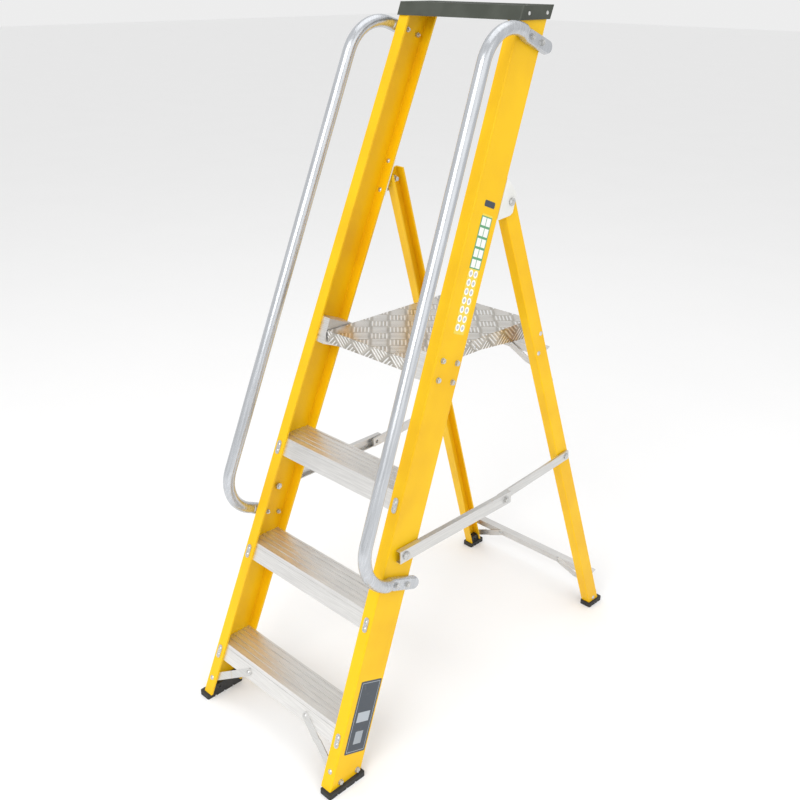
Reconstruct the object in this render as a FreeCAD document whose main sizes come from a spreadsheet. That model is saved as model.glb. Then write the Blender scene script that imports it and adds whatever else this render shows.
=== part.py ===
"""Platform step ladder: glass-fibre stiles and legs, aluminium treads, platform, handrails and folding stays.

Frame: +X to the right of a person climbing, -Y the climbing side, +Z up; millimetres.
The ladder stands on Z = 0, is symmetric about X = 0 and its footprint is centred on the Z axis.
"""
import FreeCAD, Part
import Sketcher
import math
import os
import re
from FreeCAD import Placement, Rotation, Vector

DIMENSIONS = {
    # overall: depth coordinate of the footprint's centre behind the front feet's reference line
    "middle": 520.5,
    # front stiles: channels open inwards, leaning back and converging upwards
    "lean": 21.5, "taper": 2.29, "half_width": 236, "stile_depth": 86.5, "stile_flange": 30,
    "stile_wall": 5, "stile_round": 3,
    # treads: height of the first one, spacing, section
    "tread_first": 142, "tread_pitch": 250, "tread_height": 40, "tread_wall": 2.5, "tread_gap": 0.2,
    "groove_width": 6, "groove_depth": 1.4, "groove_pitch": 13.6, "groove_first": 16, "line_down": 8,
    # rivet plates on the front flanges
    "plate_half": 10.5, "plate_end": 6.5, "plate_thick": 1.5, "plate_back": 14.5, "plate_down": 22.5,
    "rivet_half": 7.5, "rivet_hole": 2.4,
    # platform
    "deck_top": 897, "deck_front": 358, "deck_length": 400, "deck_half": 139.3, "deck_plate": 3,
    "deck_skirt_front": 29.5, "deck_skirt_rear": 46, "deck_skirt_break": 215,
    "deck_pivot_back": 26, "deck_pivot_down": 16, "deck_bolt_back": 195, "deck_bolt_down": 18,
    # platform brackets
    "bracket_low": 936, "bracket_high": 996, "bracket_inner": 142.3, "bracket_column_front": 21.5,
    "bracket_column_rear": 70, "bracket_row_low": 945, "bracket_row_high": 987,
    # top tray
    "tray_half": 173.5, "tray_front": 612.5, "tray_depth": 101, "tray_base": 1564.5, "tray_height": 27.5,
    "tray_wall": 3, "tray_top": 4, "tray_rib": 2, "tray_screw_front": 641, "tray_screw_rear": 701,
    "tray_screw_up": 1577,
    # handrails
    "rail_radius": 14, "rail_wall": 2, "rail_run": 97, "rail_bend": 95, "rail_low": 497, "rail_high": 1662,
    "rail_offset": 17, "rail_flat": 17, "rail_end_radius": 15, "rail_end_offset": 8, "rail_flat_start": 20,
    "rail_end": 92, "rail_bolt_front": 31, "rail_bolt_rear": 66,
    # hinges between the stiles and the rear legs
    "hinge_back": 119, "hinge_up": 1344, "hinge_low": 1299.5, "hinge_high": 1388, "hinge_wall": 3,
    "hinge_rivet_low": 1310, "hinge_rivet_high": 1378, "hinge_pin": 5,
    # rear legs: channels open inwards, leaning forwards
    "leg_lean": 18.83, "leg_taper": 2.55, "leg_half": 233.5, "leg_rear": 1036.7, "leg_depth": 40,
    "leg_length": 1306, "leg_flange": 25, "leg_wall": 4, "leg_round": 2.5, "leg_corner": 8, "leg_inset": 12.5,
    # rear crossbars: bottoms measured along the legs
    "bar_low": 84.5, "bar_high": 855, "bar_height": 24, "bar_depth": 17.7,
    "bar_wall": 2.5, "bar_low_tip": 225, "bar_high_tip": 189,
    # flat braces
    "brace_half": 10, "front_brace_half": 9.2, "brace_wall": 2.5, "brace_hole": 2.9,
    "front_brace_out": 105, "front_brace_up": 127.2,
    # folding stays
    "stay_a_back": 245, "stay_a_up": 509, "stay_c_back": 582, "stay_c_up": 510, "stay_b_back": 838,
    "stay_b_up": 529, "stay_face": 227.6, "stay_half": 15, "stay_channel": 12, "stay_wall": 2.2,
    "stay_nose": 17.5, "stay_tail": 20, "stay_pin": 4,
    "link_half": 12, "link_thick": 5.2, "link_face": 215.1, "link_end": 11,
    # feet
    "sole_height": 12.5, "sole_front": -2, "sole_rear": 103, "sole_in": 209.5, "sole_out": 243,
    "plug_top": 32, "rear_sole_front": 986, "rear_sole_rear": 1043, "rear_sole_in": 205,
    "rear_sole_out": 238, "sole_groove": 3,
    # running clearance of pins, plate thickness of the stuck-on labels
    "run_gap": 0.06, "label_thick": 0.5,
}

doc = FreeCAD.newDocument("PlatformLadder")
sheet = doc.addObject("Spreadsheet::Sheet", "Dim")
for row, (alias, number) in enumerate(DIMENSIONS.items(), start=1):
    sheet.set(f"A{row}", alias)
    sheet.set(f"B{row}", str(number))
    sheet.setAlias(f"B{row}", alias)
doc.recompute()


def dim(text):
    """Rewrite an expression of aliases so that any object of the document can read it."""
    def named(word):
        return f"Dim.{word[0]}" if word[0] in DIMENSIONS else word[0]

    return re.sub(r"[a-z][a-z_]*", named, str(text))


def value(text):
    """The number an expression of aliases stands for."""
    return float(sheet.evalExpression(dim(text)))


# ---------------------------------------------------------------- frames
ACROSS = Vector(1, 0, 0)
DEEP = Vector(0, 1, 0)
UP = Vector(0, 0, 1)
SIDES = {"left": -1, "right": 1}
WORLD = Placement(Vector(0, -value("middle"), 0), Rotation())
FRONT = WORLD * Placement(Vector(), Rotation(ACROSS, -value("lean")))
REAR = WORLD * Placement(Vector(0, value("leg_rear"), 0), Rotation(ACROSS, value("leg_lean")))
SIDE_VIEW = Rotation(Vector(1, 1, 1), 120)


def stile_frame(side):
    """Outer front edge of a stile: Y runs rearwards across the stile, Z along it."""
    turn = Rotation(DEEP, -side * value("taper"))
    return FRONT * Placement(Vector(side * value("half_width"), 0, 0), turn)


def leg_frame(side):
    """Outer rear edge of a leg: Y runs rearwards across the leg, Z along it."""
    turn = Rotation(DEEP, -side * value("leg_taper"))
    return REAR * Placement(Vector(side * value("leg_half"), 0, 0), turn)


def world_point(x, y, z):
    return WORLD.multVec(Vector(x, y, z))


def level(height, back):
    """Along-the-stile coordinate of a level line at a distance across the stile."""
    return f"(({height}) / cos(lean) + ({back}) * tan(lean))"


# ---------------------------------------------------------------- modelling helpers
def new_body(label, placement=WORLD):
    body = doc.addObject("PartDesign::Body", label)
    body.Label = label
    body.Placement = placement
    return body


def new_sketch(body, role, offset="0"):
    """A sketch on one of the body's own origin planes, moved along its normal."""
    sketch = body.newObject("Sketcher::SketchObject", f"{body.Name}_sketch")
    plane = next(item for item in body.Origin.OriginFeatures if item.Role == role)
    sketch.AttachmentSupport = [(plane, "")]
    sketch.MapMode = "FlatFace"
    sketch.setExpression("AttachmentOffset.Base.z", dim(offset))
    return sketch


def free_sketch(body, placement):
    """A sketch at any place and attitude, given in the ladder's frame."""
    sketch = new_sketch(body, "XY_Plane")
    sketch.setExpression("AttachmentOffset.Base.z", None)
    sketch.AttachmentOffset = body.Placement.inverse() * placement
    return sketch


def fix_point(sketch, geometry, end, x, y):
    for kind, text in (("DistanceX", x), ("DistanceY", y)):
        rule = sketch.addConstraint(Sketcher.Constraint(kind, -1, 1, geometry, end, value(text)))
        sketch.setExpression(f"Constraints[{rule}]", dim(text))


def fix_radius(sketch, geometry, radius):
    rule = sketch.addConstraint(Sketcher.Constraint("Radius", geometry, value(radius)))
    sketch.setExpression(f"Constraints[{rule}]", dim(radius))


def add_polygon(sketch, points):
    """A closed outline of straight lines through points given as expressions."""
    corners = [Vector(value(x), value(y), 0) for x, y in points]
    first = sketch.GeometryCount
    count = len(points)
    for i in range(count):
        sketch.addGeometry(Part.LineSegment(corners[i], corners[(i + 1) % count]))
    for i in range(count):
        following = first + (i + 1) % count
        sketch.addConstraint(Sketcher.Constraint("Coincident", first + i, 2, following, 1))
        fix_point(sketch, first + i, 1, *points[i])


def add_box(sketch, x_low, x_high, y_low, y_high):
    add_polygon(sketch, [(x_low, y_low), (x_high, y_low), (x_high, y_high), (x_low, y_high)])


def add_circle(sketch, x, y, radius):
    index = sketch.GeometryCount
    sketch.addGeometry(Part.Circle(Vector(value(x), value(y), 0), UP, value(radius)))
    fix_point(sketch, index, 3, x, y)
    fix_radius(sketch, index, radius)


def pad(body, sketch, length, symmetric=False, reverse=False):
    feature = body.newObject("PartDesign::Pad", f"{body.Name}_pad")
    feature.Profile = sketch
    feature.setExpression("Length", dim(length))
    feature.SideType = "Symmetric" if symmetric else "One side"
    feature.Reversed = reverse
    return feature


def pocket(body, sketch, length, symmetric=False, reverse=False):
    """Cut a sketch out of the body and make sure that it takes material away."""
    doc.recompute()
    before = body.Shape.Volume
    feature = body.newObject("PartDesign::Pocket", f"{body.Name}_pocket")
    feature.Profile = sketch
    feature.Type = "Length"
    feature.setExpression("Length", dim(length))
    feature.SideType = "Symmetric" if symmetric else "One side"
    feature.Reversed = reverse
    doc.recompute()
    if not body.Shape.Volume < before - 0.5:
        raise RuntimeError(f"{feature.Name} removes nothing")
    return feature


def cut_outline(body, role, outline, length="900"):
    sketch = new_sketch(body, role)
    add_polygon(sketch, outline)
    return pocket(body, sketch, length, symmetric=True)


def cut_level(body, height, reverse):
    """Trim a body at a level plane: everything below it, or above it when reversed."""
    sketch = free_sketch(body, world_placement(0, 0, height))
    add_box(sketch, "-400", "400", "-100", "1200")
    return pocket(body, sketch, "400", reverse=reverse)


def world_placement(x, y, height, turn=Rotation()):
    return Placement(world_point(x, y, value(height)), turn)


def drill(body, role, points, radius, length="40", offset="0", reverse=False, symmetric=True):
    sketch = new_sketch(body, role, offset)
    for x, y in points:
        add_circle(sketch, x, y, radius)
    return pocket(body, sketch, length, symmetric, reverse)


def drill_across(body, x, back, height, radius, length="50"):
    """A hole parallel to the hinge axes, centred on a point of the ladder's frame."""
    centre = world_point(x, value(back), value(height))
    sketch = free_sketch(body, Placement(centre, SIDE_VIEW))
    add_circle(sketch, "0", "0", radius)
    return pocket(body, sketch, length, symmetric=True)


def round_edges(body, radius, wanted):
    """Fillet the straight edges picked by their middle point and direction."""
    doc.recompute()
    tip = body.Tip
    names = []
    for index, edge in enumerate(tip.Shape.Edges, start=1):
        if isinstance(edge.Curve, Part.Line):
            middle = edge.valueAt((edge.FirstParameter + edge.LastParameter) / 2)
            if wanted(middle, edge.Curve.Direction):
                names.append(f"Edge{index}")
    feature = body.newObject("PartDesign::Fillet", f"{body.Name}_round")
    feature.Base = (tip, names)
    feature.setExpression("Radius", dim(radius))
    doc.recompute()
    return feature


def group(label, solids):
    """A node of identical small pieces, each a separate solid."""
    feature = doc.addObject("Part::Feature", label)
    feature.Label = label
    feature.Shape = Part.makeCompound(solids)
    feature.Placement = Placement()
    return feature


def rivet(radius, height, shank, length):
    """A domed head on Z = 0 with a plain shank below it."""
    ball = (radius * radius + height * height) / (2 * height)
    head = Part.makeSphere(ball, Vector(0, 0, height - ball)).common(Part.makeCylinder(radius, height + 1))
    return head.fuse(Part.makeCylinder(shank, length + 0.5, Vector(0, 0, -length))).removeSplitter()


def hexagon(across, height, hole=0.0):
    """A chamfered hexagon standing on Z = 0, plain or with a hole through it."""
    corner = across / math.sqrt(3)
    turns = [math.radians(60 * i) for i in range(7)]
    outline = Part.makePolygon([Vector(corner * math.cos(a), corner * math.sin(a), 0) for a in turns])
    solid = Part.Face(outline).extrude(Vector(0, 0, height))
    solid = solid.common(Part.makeCone(corner + 1.8 * height, 0.97 * corner, height))
    if hole:
        solid = solid.cut(Part.makeCylinder(hole, height))
    return solid.removeSplitter()


def bolt(across, height, washer, shank, length):
    """A hexagon head on a washer face at Z = 0 with a plain shank below it."""
    solid = hexagon(across, height)
    solid.translate(Vector(0, 0, 1))
    stem = Part.makeCylinder(shank, length + 0.5, Vector(0, 0, -length))
    solid = solid.fuse([Part.makeCylinder(washer, 1.2), stem])
    return solid.removeSplitter()


def pin_with_head(radius, head, height, length):
    """A pivot pin: a chamfered round head on Z = 0 and a shank below it."""
    rim = Part.makeCylinder(head, 0.7 * height)
    rim = rim.fuse(Part.makeCone(head, 0.6 * head, 0.3 * height, Vector(0, 0, 0.7 * height)))
    return rim.fuse(Part.makeCylinder(radius, length + 0.5, Vector(0, 0, -length))).removeSplitter()


def ring(outer, inner, height):
    return Part.makeCylinder(outer, height).cut(Part.makeCylinder(inner, height))


def turned(solid, point, direction):
    """A copy of a solid with its origin at a point and its +Z along a direction."""
    copy = solid.copy()
    copy.Placement = Placement(point, Rotation(UP, direction))
    return copy


def in_frame(solid, frame, point, direction):
    return turned(solid, frame.multVec(point), frame.Rotation.multVec(direction))


# ---------------------------------------------------------------- front stiles
CORNERS = [("0", "0"), ("0", "depth"), ("flange", "depth"), ("flange", "depth - wall"),
           ("wall", "depth - wall"), ("wall", "wall"), ("flange", "wall"), ("flange", "0")]
RAIL_ENDS = ("rail_low", "rail_high")
RAIL_BOLTS = ("rail_bolt_front", "rail_bolt_rear")
BRACKET_BOLTS = [(column, row) for column in ("bracket_column_front", "bracket_column_rear")
                 for row in ("bracket_row_low", "bracket_row_high")]
FOOT_BOLTS = [("26", level("22", "26")), ("72.7", level("22", "72.7"))]
TREAD_TOPS = [f"(tread_first + {i} * tread_pitch)" for i in range(3)]
PLATE_RISE = [level(f"{top} - plate_down", "0") for top in TREAD_TOPS]
FRONT_RIVET = level("52", "0")
HINGE_RIVETS = ("hinge_rivet_low", "hinge_rivet_high")


def channel_outline(side, kind, forward):
    """Channel section: web on the outside, flanges inwards, depth to the rear or to the front."""
    words = {"depth": f"{kind}_depth", "flange": f"{kind}_flange", "wall": f"{kind}_wall"}
    points = []
    for x, y in CORNERS:
        text = [re.sub(r"[a-z]+", lambda word: words[word[0]], item) for item in (x, y)]
        points.append((f"{-side} * ({text[0]})", f"{-1 if forward else 1} * ({text[1]})"))
    return points


def outer_corner(middle, direction):
    """True for the two long outer corners of a channel."""
    return abs(direction.z) > 0.99 and abs(middle.x) < 0.1


def make_stile(name, side):
    body = new_body(f"front_stile_{name}", stile_frame(side))
    section = new_sketch(body, "XY_Plane")
    add_polygon(section, channel_outline(side, "stile", forward=False))
    pad(body, section, "1790")
    round_edges(body, "stile_round", outer_corner)
    cut_level(body, "sole_height", reverse=False)
    cut_level(body, "tray_base + tray_height - tray_top", reverse=True)
    drill(body, "YZ_Plane", FOOT_BOLTS, "3")
    drill(body, "YZ_Plane", BRACKET_BOLTS, "3")
    drill(body, "YZ_Plane", [(back, end) for end in RAIL_ENDS for back in RAIL_BOLTS], "3")
    inset = f"{-side} * plate_back"
    plates = [(inset, f"{rise} + {sign} * rivet_half") for rise in PLATE_RISE for sign in (-1, 1)]
    drill(body, "XZ_Plane", plates + [(inset, FRONT_RIVET)], "rivet_hole", "10", symmetric=False)
    rear = [(inset, height) for height in HINGE_RIVETS]
    drill(body, "XZ_Plane", rear, "3", "10", offset="-stile_depth", symmetric=False, reverse=True)
    drill_across(body, side * stay_web(), "stay_a_back", "stay_a_up", "stay_pin")
    for back in ("tray_screw_front", "tray_screw_rear"):
        drill_across(body, side * 168, back, "tray_screw_up", "2")
    return body


def stay_web():
    """Distance of a stile's outer face from X = 0 at the height of the stay's pivot."""
    return value("half_width - stay_a_up / cos(lean) * tan(taper)")


# ---------------------------------------------------------------- treads and their rivet plates
def tread_limit(rise):
    """Half length of a tread at a distance along the stiles."""
    return f"(half_width - ({rise}) * tan(taper) - stile_wall / cos(taper) - 0.05)"


def make_tread(number, top):
    body = new_body(f"tread_{number}", FRONT)
    section = new_sketch(body, "YZ_Plane")
    front = "stile_wall"
    rear = "(stile_depth - stile_wall - tread_gap)"
    inner_front = "(stile_wall + tread_wall)"
    inner_rear = f"({rear} - tread_wall)"
    base = f"({top} - tread_height)"
    add_polygon(section, [(front, level(base, front)), (rear, level(base, rear)),
                          (rear, level(top, rear)), (front, level(top, front))])
    floor = f"({base} + tread_wall)"
    roof = f"({top} - tread_wall - groove_depth)"
    add_polygon(section, [(inner_front, level(floor, inner_front)), (inner_rear, level(floor, inner_rear)),
                          (inner_rear, level(roof, inner_rear)), (inner_front, level(roof, inner_front))])
    pad(body, section, "560", symmetric=True)
    grooves = new_sketch(body, "YZ_Plane")
    for i in range(5):
        near = f"(groove_first + {i} * groove_pitch)"
        far = f"({near} + groove_width)"
        bottom = f"({top} - groove_depth)"
        above = f"({top} + 3)"
        add_polygon(grooves, [(near, level(bottom, near)), (far, level(bottom, far)),
                              (far, level(above, far)), (near, level(above, near))])
    line = f"({top} - line_down)"
    add_polygon(grooves, [("stile_wall - 1", level(f"{line} - 1.2", front)),
                          ("stile_wall + 0.8", level(f"{line} - 1.2", front)),
                          ("stile_wall + 0.8", level(line, front)), ("stile_wall - 1", level(line, front))])
    pocket(body, grooves, "600", symmetric=True)
    low = level(base, "-20")
    high = level(top, "110")
    for side in SIDES.values():
        cut_outline(body, "XZ_Plane", [(f"{side} * {tread_limit(low)}", low), (f"{side} * 400", low),
                                       (f"{side} * 400", high), (f"{side} * {tread_limit(high)}", high)])
    holes = []
    for side in SIDES.values():
        for rise in rivet_rises(number - 1):
            point = Vector(-side * value("plate_back"), 0, value(rise))
            point = FRONT.inverse().multVec(stile_frame(side).multVec(point))
            holes.append((f"{point.x:.4f}", f"{point.z:.4f}"))
        if number == 1:
            holes.append((f"{side} * front_brace_out", "front_brace_up"))
    drill(body, "XZ_Plane", holes, "rivet_hole + 0.3", "10", offset="-stile_wall + 1", symmetric=False)
    return body


def rivet_rises(index):
    return [f"({PLATE_RISE[index]} + {sign} * rivet_half)" for sign in (-1, 1)]


def oval_plate():
    """A thin plate with round ends, standing on Z = 0 and long in Y, with two holes."""
    reach, radius, thick = value("plate_half"), value("plate_end"), value("plate_thick")
    solid = Part.makeBox(2 * radius, 2 * reach, thick, Vector(-radius, -reach, 0))
    for sign in (-1, 1):
        solid = solid.fuse(Part.makeCylinder(radius, thick, Vector(0, sign * reach, 0)))
    for sign in (-1, 1):
        centre = Vector(0, sign * value("rivet_half"), 0)
        solid = solid.cut(Part.makeCylinder(value("rivet_hole"), thick, centre))
    return solid.removeSplitter()


def make_tread_fixings():
    plates = []
    rivets = []
    lying = Rotation(ACROSS, 90)
    thick = value("plate_thick")
    head = rivet(4.4, 2.2, value("rivet_hole"), thick + value("stile_wall") + 4)
    for side in SIDES.values():
        frame = stile_frame(side)
        inset = -side * value("plate_back")
        for rise in PLATE_RISE:
            plate = oval_plate()
            plate.Placement = frame * Placement(Vector(inset, 0, value(rise)), lying)
            plates.append(plate)
            for sign in (-1, 1):
                point = Vector(inset, -thick, value(rise) + sign * value("rivet_half"))
                rivets.append(in_frame(head, frame, point, -DEEP))
    group("tread_rivet_plates", plates)
    group("tread_rivets", rivets)


# ---------------------------------------------------------------- platform and brackets
def make_bracket(name, side):
    body = new_body(f"platform_bracket_{name}", stile_frame(side))
    block = new_sketch(body, "YZ_Plane", f"{-side} * stile_wall")
    add_box(block, "stile_wall", "stile_depth - stile_wall - 0.2", "bracket_low", "bracket_high")
    pad(body, block, "64", reverse=side > 0)
    centre = Placement(world_point(side * value("bracket_inner"), 0, 0), SIDE_VIEW)
    trim = free_sketch(body, centre)
    add_box(trim, "200", "600", "700", "1100")
    pocket(body, trim, "60", reverse=side < 0)
    hollow = new_sketch(body, "YZ_Plane", f"{-side} * stile_wall")
    add_box(hollow, "47", "63", "bracket_low + 5", "bracket_high - 5")
    pocket(body, hollow, "38", reverse=side < 0)
    grooves = new_sketch(body, "YZ_Plane")
    for i in range(3):
        low = f"(bracket_low + 13 + {i} * 15)"
        add_box(grooves, "stile_wall - 1", "stile_wall + 1.2", low, f"{low} + 3")
    for i in range(6):
        near = f"(stile_wall + 6 + {i} * 11.5)"
        add_box(grooves, near, f"{near} + 4", "bracket_high - 1.5", "bracket_high + 1")
    pocket(body, grooves, "200", symmetric=True)
    drill(body, "YZ_Plane", BRACKET_BOLTS, "3", "40")
    drill_across(body, side * value("bracket_inner"), "deck_front + deck_pivot_back",
                 "deck_top - deck_pivot_down", "stay_pin", "40")
    return body


def make_deck():
    frame = WORLD * Placement(Vector(0, value("deck_front"), value("deck_top")), Rotation())
    body = new_body("platform_deck", frame)
    skirt = new_sketch(body, "YZ_Plane")
    add_polygon(skirt, [("0", "0"), ("0", "-deck_skirt_front"), ("deck_skirt_break", "-deck_skirt_front"),
                        ("deck_length", "-deck_skirt_rear"), ("deck_length", "0")])
    pad(body, skirt, "2 * deck_half", symmetric=True)
    round_edges(body, "2", lambda middle, direction: middle.z > -0.1)
    inside = new_sketch(body, "YZ_Plane")
    add_box(inside, "deck_plate", "deck_length - deck_plate", "-60", "-deck_plate")
    pocket(body, inside, "2 * (deck_half - deck_plate)", symmetric=True)
    drill(body, "YZ_Plane", [("deck_pivot_back", "-deck_pivot_down")], "stay_pin + run_gap", "300")
    drill(body, "YZ_Plane", [("deck_bolt_back", "-deck_bolt_down")], "3", "300")
    return body


def make_platform_fixings():
    bolts = []
    pins = []
    side_bolts = []
    bolt_solid = bolt(10, 4, 6.4, 3, 5 + 14)
    for side in SIDES.values():
        frame = stile_frame(side)
        for back, rise in BRACKET_BOLTS:
            point = Vector(0, value(back), value(rise))
            bolts.append(in_frame(bolt_solid, frame, point, ACROSS * side))
        back = value("deck_front + deck_pivot_back")
        pivot = world_point(side * 130, back, value("deck_top - deck_pivot_down"))
        shank = Part.makeCylinder(value("stay_pin"), 30)
        head = Part.makeCylinder(8, 5.6)
        collar = Part.makeCylinder(9, 2.2, Vector(0, 0, 10))
        pins.append(turned(shank.fuse([head, collar]).removeSplitter(), pivot, ACROSS * side))
        outer = world_point(side * value("deck_half"), value("deck_front + deck_bolt_back"),
                            value("deck_top - deck_bolt_down"))
        side_bolts.append(turned(rivet(5.5, 2.8, 3, 7), outer, ACROSS * side))
    group("platform_bracket_bolts", bolts)
    group("platform_pivot_pins", pins)
    group("platform_side_bolts", side_bolts)


# ---------------------------------------------------------------- top tray
def leaning_box(front, rear, height):
    """Side outline with a level base and top whose ends lean like the stiles."""
    shift = f"({height}) * tan(lean)"
    return [(front, "0"), (rear, "0"), (f"{rear} + {shift}", height), (f"{front} + {shift}", height)]


def make_tray():
    frame = WORLD * Placement(Vector(0, value("tray_front"), value("tray_base")), Rotation())
    body = new_body("top_tray", frame)
    block = new_sketch(body, "YZ_Plane")
    add_polygon(block, leaning_box("0", "tray_depth", "tray_height"))
    pad(body, block, "2 * tray_half", symmetric=True)
    round_edges(body, "4", lambda middle, direction: abs(direction.x) < 0.1 and abs(direction.z) > 0.8)
    cavity = new_sketch(body, "YZ_Plane")
    add_polygon(cavity, leaning_box("tray_wall", "tray_depth - tray_wall", "tray_height - tray_top"))
    pocket(body, cavity, "2 * (tray_half - tray_wall)", symmetric=True)
    grooves = new_sketch(body, "YZ_Plane")
    for i in range(6):
        near = f"(tray_height * tan(lean) + 9.5 + {i} * 14.6)"
        add_box(grooves, near, f"{near} + 9", "tray_height - tray_rib", "tray_height + 2")
    pocket(body, grooves, "2 * tray_half - 12", symmetric=True)
    holes = [(f"{back} - tray_front", "tray_screw_up - tray_base")
             for back in ("tray_screw_front", "tray_screw_rear")]
    drill(body, "YZ_Plane", holes, "2", "400")
    screws = []
    for side in SIDES.values():
        for back in ("tray_screw_front", "tray_screw_rear"):
            point = world_point(side * value("tray_half"), value(back), value("tray_screw_up"))
            screws.append(turned(rivet(4, 2, 2, 14), point, ACROSS * side))
    group("tray_screws", screws)
    return body


# ---------------------------------------------------------------- handrails
def make_handrail(name, side):
    body = new_body(f"handrail_{name}", stile_frame(side))
    path = new_sketch(body, "YZ_Plane", f"{side} * rail_offset")
    near = "-rail_run + rail_bend"
    low_line = ("rail_low", "rail_low + rail_bend")
    bend = value("rail_bend")
    run = -value("rail_run")
    low, high = value("rail_low"), value("rail_high")
    corner = run + bend
    low_centre = Part.Circle(Vector(corner, low + bend, 0), UP, bend)
    high_centre = Part.Circle(Vector(corner, high - bend, 0), UP, bend)
    path.addGeometry(Part.ArcOfCircle(low_centre, math.pi, 1.5 * math.pi))
    path.addGeometry(Part.LineSegment(Vector(run, low + bend, 0), Vector(run, high - bend, 0)))
    path.addGeometry(Part.ArcOfCircle(high_centre, 0.5 * math.pi, math.pi))
    path.addConstraint(Sketcher.Constraint("Tangent", 0, 1, 1, 1))
    path.addConstraint(Sketcher.Constraint("Tangent", 1, 2, 2, 2))
    fix_point(path, 0, 3, near, low_line[1])
    fix_point(path, 2, 3, near, "rail_high - rail_bend")
    fix_radius(path, 0, "rail_bend")
    ring_sketch = new_sketch(body, "XZ_Plane", "rail_run - rail_bend")
    add_circle(ring_sketch, f"{side} * rail_offset", "rail_low", "rail_radius")
    add_circle(ring_sketch, f"{side} * rail_offset", "rail_low", "rail_radius - rail_wall")
    pipe = body.newObject("PartDesign::AdditivePipe", f"{body.Name}_pipe")
    pipe.Profile = ring_sketch
    pipe.Spine = path
    doc.recompute()
    for end in RAIL_ENDS:
        start = new_sketch(body, "XZ_Plane", "rail_run - rail_bend")
        add_circle(start, f"{side} * rail_offset", end, "rail_radius")
        finish = new_sketch(body, "XZ_Plane", "-rail_flat_start")
        add_circle(finish, f"{side} * rail_end_offset", end, "rail_end_radius")
        loft = body.newObject("PartDesign::AdditiveLoft", f"{body.Name}_loft")
        loft.Profile = start
        loft.Sections = [finish]
        straight = new_sketch(body, "XZ_Plane", "-rail_flat_start")
        add_circle(straight, f"{side} * rail_end_offset", end, "rail_end_radius")
        pad(body, straight, "rail_end - rail_flat_start", reverse=True)
        cap = body.newObject("PartDesign::AdditiveSphere", f"{body.Name}_tip")
        plane = next(item for item in body.Origin.OriginFeatures if item.Role == "XY_Plane")
        cap.AttachmentSupport = [(plane, "")]
        cap.MapMode = "FlatFace"
        cap.setExpression("AttachmentOffset.Base.x", dim(f"{side} * rail_end_offset"))
        cap.setExpression("AttachmentOffset.Base.y", dim("rail_end"))
        cap.setExpression("AttachmentOffset.Base.z", dim(end))
        cap.setExpression("Radius", dim("rail_end_radius"))
        doc.recompute()
    cut_outline(body, "XY_Plane", [("0", "-20"), ("0", "140"), (f"{-side} * 30", "140"),
                                   (f"{-side} * 30", "-20")], "4000")
    cut_outline(body, "XY_Plane", [(f"{side} * (rail_offset + rail_radius + 0.8)", "0"),
                                   (f"{side} * rail_flat", "rail_flat_start + 2.5"),
                                   (f"{side} * rail_flat", "140"), (f"{side} * 60", "140"),
                                   (f"{side} * 60", "0")], "4000")
    drill(body, "YZ_Plane", [(back, end) for end in RAIL_ENDS for back in RAIL_BOLTS], "3", "60")
    return body


def make_rail_fixings():
    bolts = []
    nuts = []
    for side in SIDES.values():
        frame = stile_frame(side)
        for end in RAIL_ENDS:
            for back in RAIL_BOLTS:
                outside = Vector(side * value("rail_flat"), value(back), value(end))
                inside = Vector(-side * value("stile_wall"), value(back), value(end))
                bolts.append(in_frame(bolt(10, 4, 6.8, 3, 31), frame, outside, ACROSS * side))
                nuts.append(in_frame(hexagon(10, 5, 3), frame, inside, ACROSS * -side))
    group("handrail_bolts", bolts)
    group("handrail_nuts", nuts)


# ---------------------------------------------------------------- hinge plates
def hinge_centre(side, x):
    """Point of the hinge axis at a distance from the middle plane."""
    point = FRONT.multVec(Vector(0, value("hinge_back"), value("hinge_up")))
    return Vector(side * x, point.y, point.z)


def make_hinge_plate(name, side):
    body = new_body(f"hinge_plate_{name}", stile_frame(side))
    lobe = new_sketch(body, "YZ_Plane")
    add_polygon(lobe, [("stile_depth", "hinge_low"), ("stile_depth", "hinge_high"),
                       ("stile_depth + 38", "hinge_high - 19"), ("stile_depth + 44", "hinge_high - 27"),
                       ("stile_depth + 46", "hinge_low + 25"), ("stile_depth + 39", "hinge_low + 17"),
                       ("stile_depth + 5", "hinge_low")])
    pad(body, lobe, "hinge_wall", reverse=side > 0)
    base = new_sketch(body, "XY_Plane", "hinge_low")
    add_box(base, "0", f"{-side} * stile_flange", "stile_depth", "stile_depth + hinge_wall")
    pad(body, base, "hinge_high - hinge_low")
    inset = f"{-side} * plate_back"
    drill(body, "XZ_Plane", [(inset, rise) for rise in HINGE_RIVETS], "3", "20", offset="-stile_depth")
    centre = hinge_centre(side, 182)
    hole = free_sketch(body, Placement(centre, SIDE_VIEW))
    add_circle(hole, "0", "0", "hinge_pin")
    pocket(body, hole, "30", symmetric=True)
    return body


def make_hinge_fixings():
    rivets = []
    pins = []
    nuts = []
    washers = []
    pin_radius = value("hinge_pin")
    for side in SIDES.values():
        frame = stile_frame(side)
        for rise in HINGE_RIVETS:
            point = Vector(-side * value("plate_back"), value("stile_depth - stile_wall"), value(rise))
            rivets.append(in_frame(rivet(5.5, 3, 3, 9), frame, point, -DEEP))
        outward = ACROSS * side
        pins.append(turned(pin_with_head(pin_radius, 8.5, 5, 24), hinge_centre(side, 182.8), outward))
        washers.append(turned(ring(11, pin_radius, 1.4), hinge_centre(side, 177.35), outward))
        nuts.append(turned(hexagon(14, 6, pin_radius), hinge_centre(side, 171.8), -outward))
    group("hinge_rivets", rivets)
    group("hinge_pins", pins)
    group("hinge_washers", washers)
    group("hinge_nuts", nuts)


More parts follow.
